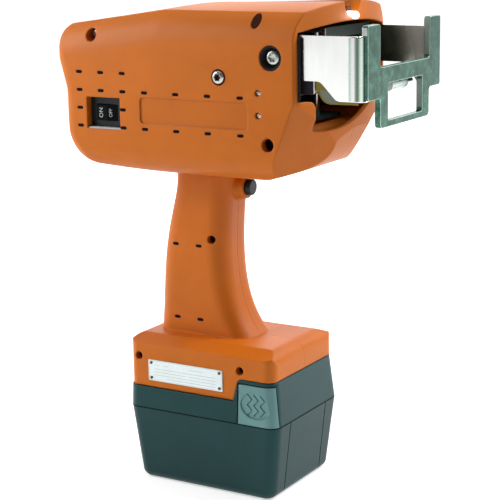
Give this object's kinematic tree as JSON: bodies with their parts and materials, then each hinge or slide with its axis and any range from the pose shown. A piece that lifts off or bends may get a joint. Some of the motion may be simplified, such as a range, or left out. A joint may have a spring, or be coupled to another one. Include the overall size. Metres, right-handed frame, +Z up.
{
  "type": "nameplate marking machine",
  "caption": "Cordless hand-held marking machine with a boxy head, pistol grip, slide-on battery pack and a forked steel plate with a window at the front.",
  "frame": {"origin": "centre of the battery pack's flat bottom face", "axes": "+X forward towards the marking plate, +Y to the tool's left, +Z up"},
  "size_m": [0.2262, 0.1104, 0.321],
  "materials": {
    "housing": "fine grained moulding",
    "black_plastic": "satin",
    "bezel_plastic": "satin",
    "screw_steel": "bright zinc",
    "bush_rubber": "matte",
    "arm_steel": "brushed along its length",
    "liner_steel": "zinc plated",
    "plate_steel": "satin ground",
    "chassis_steel": "fine textured paint",
    "rod_steel": "ground",
    "dark_steel": "blackened",
    "carriage_aluminium": "machined",
    "bronze": "plain bearing bronze",
    "motor_metal": "semi-gloss",
    "nose_metal": "anodised grey",
    "spring_steel": "drawn wire",
    "lens": "clear water white",
    "board": "solder mask",
    "component": "moulded",
    "label_metal": "brushed",
    "contact_metal": "plated",
    "pack_plastic": "fine grained moulding",
    "latch_plastic": "fine grained moulding",
    "cell_sleeve": "shrink sleeve",
    "card": "pressed board"
  },
  "bodies": {
    "tool": {"housing_right": "housing", "housing_left": "housing", "housing_screws": "screw_steel", "bracket_bushes": "bush_rubber", "bracket_screws": "screw_steel", "bracket_arm_left": "arm_steel", "bracket_arm_right": "arm_steel", "arm_liner_left": "liner_steel", "arm_liner_right": "liner_steel", "marking_plate": "plate_steel", "stage_chassis": "chassis_steel", "lift_guide_rods": "rod_steel", "lift_motor": "motor_metal", "sight_light": "lens", "light_holder": "black_plastic", "control_board": "board", "board_components": "component", "power_switch_frame": "bezel_plastic", "trigger_switch": "black_plastic", "trigger_spring": "spring_steel", "nameplate": "label_metal", "nameplate_rivets": "label_metal", "terminal_block": "black_plastic", "terminal_blades": "contact_metal"},
    "battery": {"battery_lower_shell": "pack_plastic", "battery_upper_shell": "pack_plastic", "battery_cells": "cell_sleeve", "cell_end_plates": "card", "pack_board": "board", "battery_receptacles": "contact_metal", "latch_pins": "rod_steel", "latch_spring_right": "spring_steel", "latch_spring_left": "spring_steel"},
    "latch_r": {"latch_right": "latch_plastic"},
    "latch_l": {"latch_left": "latch_plastic"},
    "rocker": {"power_rocker": "black_plastic"},
    "trigger": {"trigger_button": "black_plastic"},
    "lift_stage": {"lift_carriage": "carriage_aluminium", "lift_bushes": "bronze", "lift_nut": "bronze", "cross_guide_rods": "rod_steel", "cross_screw": "rod_steel"},
    "lift_shaft": {"lift_screw": "rod_steel"},
    "cross_stage": {"cross_carriage": "carriage_aluminium", "cross_bushes": "bronze", "cross_motor": "motor_metal", "solenoid_can": "motor_metal", "stylus_nose": "nose_metal", "cross_barrel": "nose_metal", "barrel_rod": "dark_steel", "pin_spring": "spring_steel"},
    "pin": {"marking_pin": "dark_steel"}
  },
  "joints": [
    {"name": "battery_slide", "type": "slide", "parent": "tool", "child": "battery", "axis": [1, 0, 0], "range_m": [0, 0.095]},
    {"name": "latch_right_press", "type": "hinge", "parent": "battery", "child": "latch_r", "pos_m": [0.0496, -0.0355, 0.0643], "axis": [0, 0, 1], "range_deg": [-4.5, 0], "stiffness_Nm_per_rad": 1.2, "springref_deg": 1.72, "deforming": ["latch_spring_right"]},
    {"name": "latch_left_press", "type": "hinge", "parent": "battery", "child": "latch_l", "pos_m": [0.0496, 0.0355, 0.0643], "axis": [0, 0, 1], "range_deg": [0, 4.5], "stiffness_Nm_per_rad": 1.2, "springref_deg": -1.72, "deforming": ["latch_spring_left"]},
    {"name": "rocker_tilt", "type": "hinge", "parent": "tool", "child": "rocker", "pos_m": [-0.0613, -0.048, 0.25005], "axis": [0, 0, 1], "range_deg": [-16, 0]},
    {"name": "trigger_press", "type": "slide", "parent": "tool", "child": "trigger", "axis": [-1, 0, 0], "range_m": [0, 0.0025], "stiffness_N_per_m": 1200, "springref_m": -0.0006, "deforming": ["trigger_spring"]},
    {"name": "lift_travel", "type": "slide", "parent": "tool", "child": "lift_stage", "axis": [0, 0, 1], "range_m": [-0.011, 0]},
    {"name": "lift_screw_spin", "type": "hinge", "parent": "tool", "child": "lift_shaft", "pos_m": [0.046, -0.022, 0.27], "axis": [0, 0, 1], "continuous": true},
    {"name": "cross_travel", "type": "slide", "parent": "lift_stage", "child": "cross_stage", "axis": [0, 1, 0], "range_m": [-0.02, 0.012]},
    {"name": "pin_stroke", "type": "slide", "parent": "cross_stage", "child": "pin", "axis": [1, 0, 0], "range_m": [0, 0.0056], "stiffness_N_per_m": 400, "springref_m": -0.0005, "deforming": ["pin_spring"]}
  ],
  "couplings": [
    {"joint": "lift_screw_spin", "follows": "lift_travel", "rad_per_m": 785.4}
  ]
}
